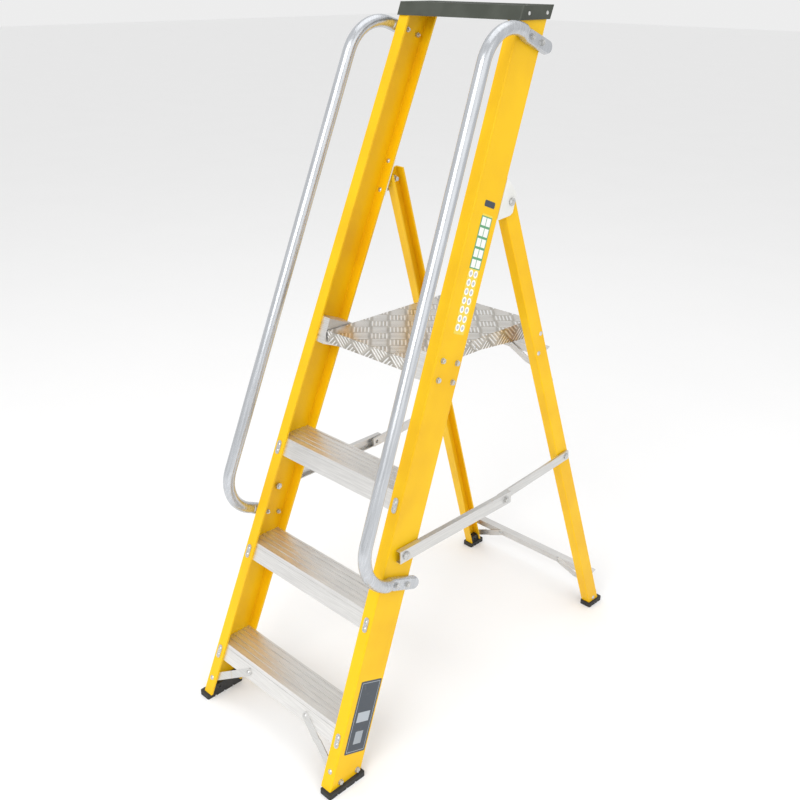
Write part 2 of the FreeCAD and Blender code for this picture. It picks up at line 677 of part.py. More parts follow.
# ---------------------------------------------------------------- rear legs
LEG_WEB_BOLTS = [("-9", "935"), ("-29.6", "892")]
LEG_FOOT_BOLT = ("-19.2", "28.7")
BAR_RIVETS = ("bar_low + bar_height / 2", "bar_high + bar_height / 2")
BRACE_ENDS = {"lower": "36", "upper": "792"}
BRACE_STARTS = {"lower": ("108", "96"), "upper": ("81", "867")}


def make_leg(name, side):
    body = new_body(f"rear_leg_{name}", leg_frame(side))
    section = new_sketch(body, "XY_Plane")
    add_polygon(section, channel_outline(side, "leg", forward=True))
    pad(body, section, "leg_length")
    round_edges(body, "leg_round", outer_corner)
    cut_level(body, "sole_height", reverse=False)
    cut_outline(body, "YZ_Plane", [("-leg_depth - 1", "leg_length - leg_corner"),
                                   ("-leg_depth + leg_corner", "leg_length + 1"),
                                   ("-leg_depth - 1", "leg_length + 1")])
    drill(body, "YZ_Plane", LEG_WEB_BOLTS + [LEG_FOOT_BOLT], "2.5")
    inset = f"{-side} * leg_inset"
    rises = BAR_RIVETS + tuple(BRACE_ENDS.values())
    holes = [(inset, rise) for rise in rises]
    drill(body, "XZ_Plane", holes, "brace_hole", "10", symmetric=False, reverse=True)
    pivot = hinge_centre(side, 176)
    hole = free_sketch(body, Placement(pivot, SIDE_VIEW))
    add_circle(hole, "0", "0", "hinge_pin + run_gap")
    pocket(body, hole, "30", symmetric=True)
    drill_across(body, side * 208, "stay_b_back", "stay_b_up", "stay_pin")
    return body


def make_crossbar(label, low, tip):
    body = new_body(label, REAR)
    section = new_sketch(body, "YZ_Plane")
    high = f"({low} + bar_height)"
    add_polygon(section, [("0", low), ("bar_wall", low), ("bar_wall", f"{high} - bar_wall"),
                          ("bar_depth", f"{high} - bar_wall"), ("bar_depth", high), ("0", high)])
    pad(body, section, f"2 * {tip}", symmetric=True)
    holes = []
    for side in SIDES.values():
        point = on_leg_flange(side, f"{low} + bar_height / 2")
        holes.append((f"{point.x}", f"{point.z}"))
        for start in BRACE_STARTS.values():
            if value(low) < float(start[1]) < value(high):
                holes.append((f"{side} * {start[0]}", start[1]))
    drill(body, "XZ_Plane", holes, "brace_hole", "12")
    return body


def on_leg_flange(side, rise):
    """Where a rivet of a leg's rear flange sits, in the plane of the rear faces."""
    point = leg_frame(side).multVec(Vector(-side * value("leg_inset"), 0, value(rise)))
    return REAR.inverse().multVec(point)


def make_brace(label, frame, start, finish, start_face, finish_face, half="brace_half"):
    """A flat strip with a joggle between two rivets; faces are its lower depth coordinates."""
    span = finish - start
    length = math.hypot(span.x, span.z)
    turn = Rotation(DEEP, math.degrees(math.atan2(-span.z, span.x)))
    body = new_body(label, frame * Placement(Vector(start.x, 0, start.z), turn))
    profile = new_sketch(body, "XY_Plane")
    end = f"{length:.3f} + {half}"
    near, far = start_face, finish_face
    add_polygon(profile, [(f"-{half}", near), ("60", near), ("68", far), (end, far),
                          (end, f"{far} + brace_wall"), ("67", f"{far} + brace_wall"),
                          ("59", f"{near} + brace_wall"), (f"-{half}", f"{near} + brace_wall")])
    pad(body, profile, f"2 * {half}", symmetric=True)
    beyond = value(half) - 0.1

    def end_corner(middle, direction):
        return abs(direction.y) > 0.99 and not -beyond < middle.x < length + beyond

    round_edges(body, f"{half} - 0.5", end_corner)
    drill(body, "XZ_Plane", [("0", "0"), (f"{length:.3f}", "0")], "brace_hole", "60")
    return body


def make_braces():
    rivets = []
    front_rivets = []
    web = value("brace_wall")
    shank = value("brace_hole")
    for name, side in SIDES.items():
        for place, (out, rise) in BRACE_STARTS.items():
            start = Vector(side * float(out), 0, float(rise))
            finish = on_leg_flange(side, BRACE_ENDS[place])
            make_brace(f"rear_brace_{place}_{name}", REAR, start, finish, "-brace_wall", "0")
            rivets.append(in_frame(rivet(6, 3, shank, 6.5), REAR, start + Vector(0, -web, 0), -DEEP))
            end = Vector(finish.x, web, finish.z)
            through = rivet(6, 3, shank, value("brace_wall + leg_wall"))
            rivets.append(in_frame(through, REAR, end, DEEP))
        start = Vector(side * value("front_brace_out"), 0, value("front_brace_up"))
        seat = stile_frame(side).multVec(Vector(-side * value("plate_back"), 0, value(FRONT_RIVET)))
        finish = FRONT.inverse().multVec(seat)
        make_brace(f"front_brace_{name}", FRONT, start, finish,
                   "stile_wall - brace_wall", "stile_wall", "front_brace_half")
        upper = start + Vector(0, value("stile_wall - brace_wall"), 0)
        front_rivets.append(in_frame(rivet(6, 3, value("rivet_hole"), 6), FRONT, upper, -DEEP))
        front_rivets.append(in_frame(rivet(6, 3, value("rivet_hole"), 9), FRONT, finish, -DEEP))
    group("rear_brace_rivets", rivets)
    group("front_brace_rivets", front_rivets)


def make_leg_fixings():
    bar_rivets = []
    web_bolts = []
    foot_bolts = []
    for side in SIDES.values():
        frame = leg_frame(side)
        for rise in BAR_RIVETS:
            point = Vector(-side * value("leg_inset"), value("bar_wall"), value(rise))
            bar_rivets.append(in_frame(rivet(6, 3, 2.5, 7.5), frame, point, DEEP))
        for back, rise in LEG_WEB_BOLTS:
            point = Vector(0, float(back), float(rise))
            web_bolts.append(in_frame(rivet(5.5, 3, 2.5, 6), frame, point, ACROSS * side))
        back, rise = LEG_FOOT_BOLT
        point = Vector(0, float(back), float(rise))
        foot_bolts.append(in_frame(rivet(6, 3, 2.5, 14), frame, point, ACROSS * side))
    group("crossbar_rivets", bar_rivets)
    group("leg_web_rivets", web_bolts)
    group("rear_foot_rivets", foot_bolts)


# ---------------------------------------------------------------- folding stays
def make_stay_front(name, side):
    reach_back = value("stay_c_back - stay_a_back")
    reach_up = value("stay_c_up - stay_a_up")
    length = f"{math.hypot(reach_back, reach_up):.3f}"
    turn = Rotation(ACROSS, math.degrees(math.atan2(reach_up, reach_back)))
    frame = WORLD * Placement(Vector(0, value("stay_a_back"), value("stay_a_up")), turn)
    body = new_body(f"stay_front_{name}", frame)
    inner = f"{side} * (stay_face - stay_channel)"
    outline = new_sketch(body, "YZ_Plane", inner)
    end = f"({length} + stay_tail)"
    add_box(outline, "-stay_nose", end, "-stay_half", "stay_half")
    pad(body, outline, "stay_channel", reverse=side < 0)
    hollow = new_sketch(body, "YZ_Plane", inner)
    add_box(hollow, "-60", f"{end} + 20", "-stay_half + stay_wall", "stay_half - stay_wall")
    pocket(body, hollow, "stay_channel - stay_wall", reverse=side > 0)
    drill(body, "YZ_Plane", [("0", "0")], "stay_pin + run_gap", "600")
    drill(body, "YZ_Plane", [(length, "0")], "stay_pin", "600")
    return body


def make_stay_rear(name, side):
    reach_back = value("stay_b_back - stay_c_back")
    reach_up = value("stay_b_up - stay_c_up")
    length = f"{math.hypot(reach_back, reach_up):.3f}"
    turn = Rotation(ACROSS, math.degrees(math.atan2(reach_up, reach_back)))
    frame = WORLD * Placement(Vector(0, value("stay_b_back"), value("stay_b_up")), turn)
    body = new_body(f"stay_rear_{name}", frame)
    outline = new_sketch(body, "YZ_Plane", f"{side} * (link_face - link_thick)")
    add_box(outline, f"-{length} - link_end", "link_end", "-link_half", "link_half")
    pad(body, outline, "link_thick", reverse=side < 0)
    round_edges(body, "2", lambda middle, direction: abs(direction.x) > 0.99)
    drill(body, "YZ_Plane", [("0", "0")], "stay_pin + run_gap", "600")
    drill(body, "YZ_Plane", [(f"-{length}", "0")], "stay_pin + 1", "600")
    return body


def make_stay_fixings():
    stile_pins = []
    stile_nuts = []
    leg_pins = []
    leg_nuts = []
    radius = value("stay_pin")
    face = value("stay_face")
    for name, side in SIDES.items():
        outward = ACROSS * side
        a_back, a_up = value("stay_a_back"), value("stay_a_up")
        web = stay_web()
        pin = pin_with_head(radius, 9.5, 5, face + 0.3 - web + 14)
        spacer = Part.makeCylinder(8.5, face - value("stay_wall") - web - 0.9)
        spacer.translate(Vector(0, 0, web + 0.6 - face - 0.3))
        stile_pins.append(turned(pin.fuse(spacer), world_point(side * (face + 0.3), a_back, a_up), outward))
        nut_seat = world_point(side * (web - 6.2), a_back, a_up)
        stile_nuts.append(turned(hexagon(14, 6, radius), nut_seat, -outward))
        middle = world_point(side * face, value("stay_c_back"), value("stay_c_up"))
        group(f"stay_mid_bolt_{name}", [turned(bolt(13, 5, 10, radius, 11.8), middle, outward)])
        b_back, b_up = value("stay_b_back"), value("stay_b_up")
        plate = value("link_face")
        pin_seat = world_point(side * (plate + 0.3), b_back, b_up)
        leg_pins.append(turned(pin_with_head(radius, 7.5, 3.5, 20), pin_seat, outward))
        leg_nuts.append(turned(hexagon(13, 5, radius), world_point(side * 203.2, b_back, b_up), -outward))
    group("stay_stile_pins", stile_pins)
    group("stay_stile_nuts", stile_nuts)
    group("stay_leg_pins", leg_pins)
    group("stay_leg_nuts", leg_nuts)


# ---------------------------------------------------------------- feet
def make_foot(label, side, sole, frame, plug, holes, hole_radius):
    """A level sole with grooves below and a plug that rises inside the channel above it."""
    front, rear, inner, outer = sole
    body = new_body(label, WORLD)
    base = new_sketch(body, "XY_Plane")
    add_box(base, f"{side} * {inner}", f"{side} * {outer}", front, rear)
    pad(body, base, "sole_height")
    round_edges(body, "4", lambda middle, direction: abs(direction.z) > 0.99)
    section = free_sketch(body, frame)
    add_box(section, *plug)
    pad(body, section, "110")
    cut_level(body, "plug_top", reverse=True)
    cut_level(body, "0", reverse=False)
    grooves = new_sketch(body, "YZ_Plane")
    for i in range(3):
        near = f"({front} + ({rear} - {front}) * {0.2 + 0.25 * i})"
        add_box(grooves, near, f"{near} + 5", "-1", "sole_groove")
    pocket(body, grooves, "700", symmetric=True)
    side_frame = frame * Placement(Vector(), SIDE_VIEW)
    shaft = free_sketch(body, side_frame)
    for x, y in holes:
        add_circle(shaft, x, y, hole_radius)
    pocket(body, shaft, "70", symmetric=True)
    return body


def make_feet():
    front_bolts = []
    for name, side in SIDES.items():
        frame = stile_frame(side)
        plug = (f"{-side} * (stile_wall + 0.1)", f"{-side} * 25",
                "stile_wall + 0.1", "stile_depth - stile_wall - 0.1")
        sole = ("sole_front", "sole_rear", "sole_in", "sole_out")
        make_foot(f"front_foot_{name}", side, sole, frame, plug, FOOT_BOLTS, "3")
        for back, rise in FOOT_BOLTS:
            point = Vector(0, value(back), value(rise))
            front_bolts.append(in_frame(bolt(10, 3.5, 6.8, 3, 20), frame, point, ACROSS * side))
        plug = (f"{-side} * (leg_wall + 0.1)", f"{-side} * 21",
                "-leg_depth + leg_wall + 0.1", "-leg_wall - 0.1")
        sole = ("rear_sole_front", "rear_sole_rear", "rear_sole_in", "rear_sole_out")
        make_foot(f"rear_foot_{name}", side, sole, leg_frame(side), plug, [LEG_FOOT_BOLT], "2.5")
    group("front_foot_bolts", front_bolts)


# ---------------------------------------------------------------- plates stuck on the right-hand stile
def make_label(label, back_low, back_high, rise_low, rise_high):
    body = new_body(label, stile_frame(1))
    outline = new_sketch(body, "YZ_Plane")
    add_box(outline, back_low, back_high, rise_low, rise_high)
    pad(body, outline, "label_thick")
    round_edges(body, "3", lambda middle, direction: abs(direction.x) > 0.99)
    return body


# ---------------------------------------------------------------- build and export
for name, side in SIDES.items():
    make_stile(name, side)
    make_bracket(name, side)
    make_handrail(name, side)
    make_hinge_plate(name, side)
    make_leg(name, side)
    make_stay_front(name, side)
    make_stay_rear(name, side)
for number, top in enumerate(TREAD_TOPS, start=1):
    make_tread(number, top)
make_tread_fixings()
make_deck()
make_platform_fixings()
make_tray()
make_rail_fixings()
make_hinge_fixings()
make_crossbar("rear_crossbar_lower", "bar_low", "bar_low_tip")
make_crossbar("rear_crossbar_upper", "bar_high", "bar_high_tip")
make_braces()
make_leg_fixings()
make_stay_fixings()
make_feet()
make_label("maker_plate", "16", "80.5", "98", "270")
make_label("instruction_label", "33", "68", "1047", "1302")
make_label("small_label", "32", "66", "1317", "1330")
doc.recompute()

for item in doc.Objects:
    if "Invalid" in item.State or "Error" in item.State:
        raise RuntimeError(f"{item.Name} is {item.State}")

NODES = [item for item in doc.Objects if item.TypeId in ("PartDesign::Body", "Part::Feature")]
os.makedirs("parts", exist_ok=True)
span = FreeCAD.BoundBox()
for node in NODES:
    if node.Shape.isNull() or not node.Shape.isValid():
        raise RuntimeError(f"{node.Label} has no valid shape")
    node.Shape.exportStep(f"parts/{node.Label}.step")
    span.add(node.Shape.optimalBoundingBox(False, False))
    print(f"{node.Label:24s} solids {len(node.Shape.Solids):2d}  volume {node.Shape.Volume:12.0f}")
print(f"{len(NODES)} parts, size {span.XLength:.1f} x {span.YLength:.1f} x {span.ZLength:.1f}")
print(f"centre {span.Center.x:.3f} {span.Center.y:.3f}, bottom {span.ZMin:.3f}")
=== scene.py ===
"""Platform step ladder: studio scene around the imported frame.

Metres, in the row frame: +X to the climber's right, -Y the climbing side, +Z up.
"""
import bpy
import math
from mathutils import Matrix, Vector

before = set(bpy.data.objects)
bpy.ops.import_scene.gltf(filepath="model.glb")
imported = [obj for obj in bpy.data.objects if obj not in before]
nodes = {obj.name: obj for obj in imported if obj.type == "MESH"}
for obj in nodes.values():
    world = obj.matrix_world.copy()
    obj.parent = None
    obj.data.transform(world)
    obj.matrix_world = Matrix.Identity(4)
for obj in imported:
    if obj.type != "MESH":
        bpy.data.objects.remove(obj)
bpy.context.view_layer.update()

# ---------------------------------------------------------------- camera
CAMERA_AT = Vector((1.4547, -1.5457, 1.6532))
AZIMUTH = math.radians(44.505)
ELEVATION = math.radians(23.846)
ROLL = math.radians(0.34)
LENS = 43.69

# ---------------------------------------------------------------- measures that the materials share
STILE_LEAN = math.radians(21.5)
STILE_TAPER = math.radians(2.29)
STILE_HALF = 0.236
FRONT_FACE_Y = -0.5205
DECK_FRONT_Y = 0.358 - 0.5205
# raised pattern of the platform: square cells of five bars
PATTERN_CELL = 0.042
PATTERN_BARS = 5
BAR_HALF_WIDTH = 0.0022
BAR_HALF_LENGTH = 0.0185
PATTERN_OFFSET_CELLS = 30


# ---------------------------------------------------------------- shader helpers
class Shader:
    """A node material built by short calls; a value that is the same all over is set on its socket."""

    def __init__(self, name):
        self.material = bpy.data.materials.new(name)
        self.material.use_nodes = True
        self.tree = self.material.node_tree
        self.surface = self.tree.nodes["Principled BSDF"]
        self.position = self.add("ShaderNodeTexCoord").outputs["Object"]

    def add(self, kind, **settings):
        node = self.tree.nodes.new(kind)
        for key, value in settings.items():
            setattr(node, key, value)
        return node

    def feed(self, socket, value):
        if isinstance(value, bpy.types.NodeSocket):
            self.tree.links.new(value, socket)
        else:
            socket.default_value = value

    def math(self, operation, a, b=0.0, c=0.0, clamp=False):
        node = self.add("ShaderNodeMath", operation=operation, use_clamp=clamp)
        for socket, value in zip(node.inputs, (a, b, c)):
            self.feed(socket, value)
        return node.outputs[0]

    def axes(self, vector=None):
        node = self.add("ShaderNodeSeparateXYZ")
        self.feed(node.inputs[0], vector or self.position)
        return node.outputs[0], node.outputs[1], node.outputs[2]

    def placed(self, location=(0, 0, 0), rotation=(0, 0, 0), scale=(1, 1, 1), vector=None):
        """Coordinates in a frame at a place and attitude: the inverse of that placement."""
        node = self.add("ShaderNodeMapping", vector_type="TEXTURE")
        self.feed(node.inputs["Vector"], vector or self.position)
        node.inputs["Location"].default_value = location
        node.inputs["Rotation"].default_value = rotation
        node.inputs["Scale"].default_value = scale
        return node.outputs[0]

    def stretched(self, scale, vector=None):
        node = self.add("ShaderNodeMapping")
        self.feed(node.inputs["Vector"], vector or self.position)
        node.inputs["Scale"].default_value = scale
        return node.outputs[0]

    def noise(self, scale, vector=None, detail=3.0, roughness=0.55):
        node = self.add("ShaderNodeTexNoise")
        self.feed(node.inputs["Vector"], vector or self.position)
        node.inputs["Scale"].default_value = scale
        node.inputs["Detail"].default_value = detail
        node.inputs["Roughness"].default_value = roughness
        return node.outputs[0]

    def ramp(self, factor, stops, smooth=True):
        """A colour ramp; each stop is a position and a grey level or a colour."""
        node = self.add("ShaderNodeValToRGB")
        node.color_ramp.interpolation = "EASE" if smooth else "LINEAR"
        self.feed(node.inputs[0], factor)
        elements = node.color_ramp.elements
        while len(elements) < len(stops):
            elements.new(0.5)
        for element, (place, colour) in zip(elements, stops):
            element.position = place
            element.color = (*colour, 1) if isinstance(colour, tuple) else (colour, colour, colour, 1)
        return node.outputs[0]

    def mix(self, factor, a, b, blend="MIX"):
        node = self.add("ShaderNodeMix", data_type="RGBA", blend_type=blend)
        self.feed(node.inputs[0], factor)
        for socket, value in ((node.inputs[6], a), (node.inputs[7], b)):
            self.feed(socket, (*value, 1) if isinstance(value, tuple) and len(value) == 3 else value)
        return node.outputs[2]

    def between(self, value, low, high, soft=0.0002):
        """1 inside a band, 0 outside, with a narrow soft border."""
        rise = self.add("ShaderNodeMapRange", interpolation_type="SMOOTHSTEP")
        fall = self.add("ShaderNodeMapRange", interpolation_type="SMOOTHSTEP")
        for node, a, b in ((rise, low - soft, low + soft), (fall, high + soft, high - soft)):
            self.feed(node.inputs["Value"], value)
            node.inputs["From Min"].default_value = a
            node.inputs["From Max"].default_value = b
        return self.math("MULTIPLY", rise.outputs[0], fall.outputs[0])

    def colour(self, value):
        self.feed(self.surface.inputs["Base Color"], value)

    def roughness(self, value, low=None, high=None):
        if low is not None:
            node = self.add("ShaderNodeMapRange")
            self.feed(node.inputs["Value"], value)
            node.inputs["To Min"].default_value = low
            node.inputs["To Max"].default_value = high
            value = node.outputs[0]
        self.feed(self.surface.inputs["Roughness"], value)

    def bump(self, height, depth, strength=1.0):
        node = self.add("ShaderNodeBump")
        self.feed(node.inputs["Height"], height)
        node.inputs["Distance"].default_value = depth
        node.inputs["Strength"].default_value = strength
        self.feed(self.surface.inputs["Normal"], node.outputs[0])

    def set(self, **values):
        names = {"metallic": "Metallic", "coat": "Coat Weight", "coat_rough": "Coat Roughness",
                 "specular": "Specular IOR Level"}
        for key, value in values.items():
            self.surface.inputs[names[key]].default_value = value


# this edge mask serves both the paler worn edges of the moulded parts and the painted highlight along
# the resin channels' rounded edges
def edge_wear_and_highlight(shader, radius=0.0012):
    """1 on the rounded corners and edges, 0 on flat faces."""
    bevel = shader.add("ShaderNodeBevel", samples=4)
    bevel.inputs["Radius"].default_value = radius
    normal = shader.add("ShaderNodeNewGeometry").outputs["Normal"]
    dot = shader.add("ShaderNodeVectorMath", operation="DOT_PRODUCT")
    shader.feed(dot.inputs[0], bevel.outputs[0])
    shader.feed(dot.inputs[1], normal)
    return shader.math("SUBTRACT", 1.0, dot.outputs["Value"], clamp=True)


# ---------------------------------------------------------------- materials
def glass_fibre(name, face, shade, along):
    """Pultruded channel: glossy pigmented resin with faint lengthwise fibre and slight mottling."""
    s = Shader(name)
    lengthwise = s.placed(rotation=along)
    fibre = s.noise(1.0, s.stretched((900, 900, 14), lengthwise), detail=4)
    mottle = s.noise(7.0, detail=2)
    base = s.mix(s.ramp(mottle, [(0.35, 0.0), (0.7, 1.0)]), face, shade)
    veil = s.math("MULTIPLY", s.ramp(fibre, [(0.5, 0.0), (0.8, 1.0)]), 0.18)
    base = s.mix(veil, base, tuple(min(1.0, 1.25 * c) for c in face))
    # painted highlight: the rounded edges of the channel are painted a brighter yellow
    edge_highlight = s.math("MULTIPLY", edge_wear_and_highlight(s), 0.35)
    s.colour(s.mix(edge_highlight, base, (0.95, 0.72, 0.12)))
    s.roughness(fibre, 0.32, 0.45)
    s.set(coat=0.08, coat_rough=0.2, specular=0.22)
    s.bump(fibre, 0.00012, 0.5)
    return s.material


def aluminium(name, tone, grain, rough=(0.28, 0.46), rotation=(0, 0, 0), depth=0.00006):
    """Extruded or drawn metal with fine die lines along it; grain is the lengthwise stretch."""
    s = Shader(name)
    local = s.placed(rotation=rotation)
    lines = s.noise(1.0, s.stretched(grain, local), detail=5, roughness=0.6)
    cloud = s.noise(11.0, detail=3)
    dark = tuple(0.82 * c for c in tone)
    base = s.mix(s.ramp(lines, [(0.3, 0.0), (0.75, 1.0)]), dark, tone)
    veil = s.math("MULTIPLY", s.ramp(cloud, [(0.4, 0.0), (0.75, 1.0)]), 0.25)
    s.colour(s.mix(veil, base, tuple(0.9 * c for c in dark)))
    s.roughness(lines, *rough)
    s.set(metallic=0.85)
    s.bump(lines, depth, 0.6)
    return s.material


def tread_plate(name):
    """Raised five-bar pattern on every face: groups of five bars at 45 degrees, turned by turns."""
    s = Shader(name)
    x, y, z = s.axes()
    depth = s.math("SUBTRACT", y, DECK_FRONT_Y)
    normal = s.add("ShaderNodeNewGeometry").outputs["Normal"]
    turned_x, _, turned_z = (s.math("ABSOLUTE", part) for part in s.axes(normal))
    level = s.math("GREATER_THAN", turned_z, 0.7)
    sideways = s.math("GREATER_THAN", turned_x, 0.7)
    upright = s.math("SUBTRACT", 1.0, level)
    # flat faces use x and y, the front lip x and z, the side skirts y and z
    first = s.math("ADD", s.math("MULTIPLY", x, s.math("SUBTRACT", 1.0, sideways)),
                   s.math("MULTIPLY", depth, sideways))
    second = s.math("ADD", s.math("MULTIPLY", depth, level), s.math("MULTIPLY", z, upright))
    cell = PATTERN_CELL
    offset = PATTERN_OFFSET_CELLS * cell
    across = s.math("ADD", s.math("MULTIPLY", s.math("ADD", first, second), math.sqrt(0.5)), offset)
    along = s.math("ADD", s.math("MULTIPLY", s.math("SUBTRACT", first, second), math.sqrt(0.5)), offset)
    column = s.math("FLOOR", s.math("DIVIDE", across, cell))
    row = s.math("FLOOR", s.math("DIVIDE", along, cell))
    odd = s.math("MODULO", s.math("ADD", column, row), 2.0)
    even = s.math("SUBTRACT", 1.0, odd)
    u = s.math("SUBTRACT", s.math("MODULO", across, cell), cell / 2)
    v = s.math("SUBTRACT", s.math("MODULO", along, cell), cell / 2)
    length = s.math("ADD", s.math("MULTIPLY", u, odd), s.math("MULTIPLY", v, even))
    width = s.math("ADD", s.math("MULTIPLY", v, odd), s.math("MULTIPLY", u, even))
    pitch = cell / PATTERN_BARS
    # the half pitch centres one of the five bars in its cell
    bar = s.math("SUBTRACT", s.math("MODULO", s.math("ADD", width, 10.5 * pitch), pitch), pitch / 2)
    ratio_width = s.math("DIVIDE", bar, BAR_HALF_WIDTH)
    ratio_length = s.math("DIVIDE", length, BAR_HALF_LENGTH)
    squared = s.math("ADD", s.math("POWER", ratio_width, 2.0),
                     s.math("POWER", s.math("ABSOLUTE", ratio_length), 6.0))
    raised = s.ramp(s.math("SUBTRACT", 1.0, squared, clamp=True), [(0.0, 0.0), (0.6, 1.0)])
    grime = s.noise(38.0, detail=4)
    low = s.mix(s.ramp(grime, [(0.3, 0.0), (0.7, 1.0)]), (0.42, 0.40, 0.36), (0.58, 0.56, 0.52))
    # painted shade: the low ground of the cells whose bars run one way is painted darker, for the way
    # light falls across bars of that direction
    low = s.mix(s.math("MULTIPLY", odd, 0.45), low, (0.3, 0.275, 0.235))
    s.colour(s.mix(raised, low, (0.86, 0.86, 0.85)))
    s.roughness(grime, 0.22, 0.4)
    s.set(metallic=0.85)
    s.bump(raised, 0.0012, 0.9)
    return s.material


def moulded(name, tone, lift, grain=1400.0, rough=(0.5, 0.7), depth=0.00015, clear=0.0):
    """Moulded plastic or rubber with a fine grain and paler worn edges."""
    s = Shader(name)
    fine = s.noise(grain, detail=2)
    cloud = s.noise(18.0, detail=3)
    base = s.mix(s.ramp(cloud, [(0.35, 0.0), (0.75, 1.0)]), tone, lift)
    worn = tuple(min(1.0, 2.2 * c + 0.02) for c in tone)
    s.colour(s.mix(s.math("MULTIPLY", edge_wear_and_highlight(s), 0.5), base, worn))
    s.roughness(fine, *rough)
    s.set(coat=clear)
    s.bump(fine, depth, 0.7)
    return s.material


def zinc_steel(name):
    """Zinc-plated hardware: bright spangle with darker specks."""
    s = Shader(name)
    spangle = s.noise(420.0, detail=3)
    speck = s.noise(1300.0, detail=2)
    base = s.mix(s.ramp(spangle, [(0.3, 0.0), (0.7, 1.0)]), (0.42, 0.42, 0.41), (0.74, 0.74, 0.73))
    s.colour(s.mix(s.ramp(speck, [(0.62, 0.0), (0.72, 0.6)]), base, (0.2, 0.19, 0.17)))
    s.roughness(spangle, 0.24, 0.42)
    s.set(metallic=0.9)
    s.bump(speck, 0.00005, 0.5)
    return s.material


def stile_coordinates(s):
    """Distance across the right-hand stile and along it, as two sockets."""
    across = s.placed((0, FRONT_FACE_Y, 0), (-STILE_LEAN, 0, 0))
    local = s.placed((STILE_HALF, 0, 0), (0, -STILE_TAPER, 0), vector=across)
    _, back, rise = s.axes(local)
    return back, rise


def film(s, base, ink):
    """Printed film: base colour with ink, a slight orange peel and scuffs."""
    peel = s.noise(300.0, detail=2)
    scuff = s.noise(60.0, detail=4)
    colour = s.mix(ink[0], base, ink[1]) if ink else base
    scuffed = s.math("MULTIPLY", s.ramp(scuff, [(0.6, 0.0), (0.8, 1.0)]), 0.15)
    s.colour(s.mix(scuffed, colour, (0.6, 0.6, 0.6)))
    s.roughness(peel, 0.32, 0.5)
    s.set(coat=0.3, coat_rough=0.25)
    s.bump(peel, 0.00004, 0.5)


def navy_film(name):
    """Dark plate with a plain pale frame line and an abstract band."""
    s = Shader(name)
    back, rise = stile_coordinates(s)
    outer = s.math("MULTIPLY", s.between(back, 0.020, 0.0765), s.between(rise, 0.102, 0.266))
    inner = s.math("MULTIPLY", s.between(back, 0.0215, 0.075), s.between(rise, 0.1035, 0.2645))
    line = s.math("SUBTRACT", outer, inner, clamp=True)
    stripe = s.math("MULTIPLY", s.between(back, 0.029, 0.0675), s.between(rise, 0.172, 0.196))
    blocks = s.math("MULTIPLY", s.between(back, 0.036, 0.060), s.between(rise, 0.120, 0.150))
    ink = s.math("MAXIMUM", s.math("MULTIPLY", line, 0.6), s.math("MULTIPLY", stripe, 0.8))
    ink = s.math("MAXIMUM", ink, s.math("MULTIPLY", blocks, 0.6))
    film(s, (0.030, 0.043, 0.062), (ink, (0.5, 0.55, 0.6)))
    return s.material


def printed_film(name):
    """Long film with rows of paired panels above and rows of paired discs below, all blank."""
    s = Shader(name)
    back, rise = stile_coordinates(s)
    panel_low, panel_high = 1.187, 1.298
    rows = 5
    pitch = (panel_high - panel_low) / rows
    upper = s.between(rise, panel_low, panel_high)
    cell = s.math("MODULO", s.math("SUBTRACT", rise, panel_low), pitch)
    window = s.between(cell, 0.0025, pitch - 0.0025)
    columns = s.math("ADD", s.between(back, 0.0355, 0.0495), s.between(back, 0.0515, 0.0655))
    panel = s.math("MULTIPLY", s.math("MULTIPLY", window, columns), upper)
    disc_low = 1.052
    disc_pitch = 0.0192
    step = s.math("MODULO", s.math("SUBTRACT", rise, disc_low), disc_pitch)
    local = s.math("SUBTRACT", step, disc_pitch / 2)
    lower = s.between(rise, disc_low, disc_low + 7 * disc_pitch)
    across = s.math("SUBTRACT", s.math("ABSOLUTE", s.math("SUBTRACT", back, 0.0505)), 0.0082)
    radius = s.math("SQRT", s.math("ADD", s.math("POWER", s.math("DIVIDE", across, 0.0066), 2.0),
                                   s.math("POWER", s.math("DIVIDE", local, 0.0078), 2.0)))
    disc = s.math("MULTIPLY", s.math("LESS_THAN", radius, 1.0), lower)
    core = s.math("MULTIPLY", s.math("LESS_THAN", radius, 0.55), lower)
    ground = s.mix(upper, (0.83, 0.62, 0.05), (0.10, 0.34, 0.16))
    ground = s.mix(panel, ground, (0.86, 0.87, 0.84))
    ground = s.mix(disc, ground, (0.9, 0.9, 0.88))
    film(s, s.mix(s.math("MULTIPLY", core, 0.55), ground, (0.2, 0.22, 0.25)), None)
    return s.material


RIGHT_STILE = (-STILE_LEAN, 0, 0)
LEG = (math.radians(18.83), 0, 0)
YELLOW, AMBER = (0.88, 0.53, 0.003), (0.82, 0.46, 0.003)
GREY = (0.72, 0.715, 0.70)
BRIGHT = (0.84, 0.83, 0.81)
finishes = {
    "stile": glass_fibre("stile_yellow", YELLOW, AMBER, RIGHT_STILE),
    "leg": glass_fibre("leg_yellow", YELLOW, AMBER, LEG),
    "tread": aluminium("tread_aluminium", BRIGHT, (14, 500, 500)),
    "deck": tread_plate("deck_tread_plate"),
    "rail": aluminium("rail_aluminium", (0.6, 0.62, 0.65), (240, 240, 8), (0.2, 0.32), RIGHT_STILE),
    "bar": aluminium("bar_aluminium", GREY, (12, 700, 700)),
    "stay": aluminium("stay_aluminium", GREY, (700, 12, 700)),
    "tray": moulded("tray_green_black", (0.038, 0.044, 0.032), (0.055, 0.062, 0.048),
                    900.0, (0.42, 0.6)),
    "rubber": moulded("foot_rubber", (0.022, 0.022, 0.022), (0.035, 0.035, 0.034), 1100.0, (0.6, 0.8)),
    "white": moulded("hinge_white", (0.72, 0.72, 0.69), (0.8, 0.8, 0.77),
                     500.0, (0.3, 0.45), 0.0001, 0.3),
    "zinc": zinc_steel("zinc_steel"),
    "navy": navy_film("plate_navy"),
    "label": printed_film("label_printed"),
}


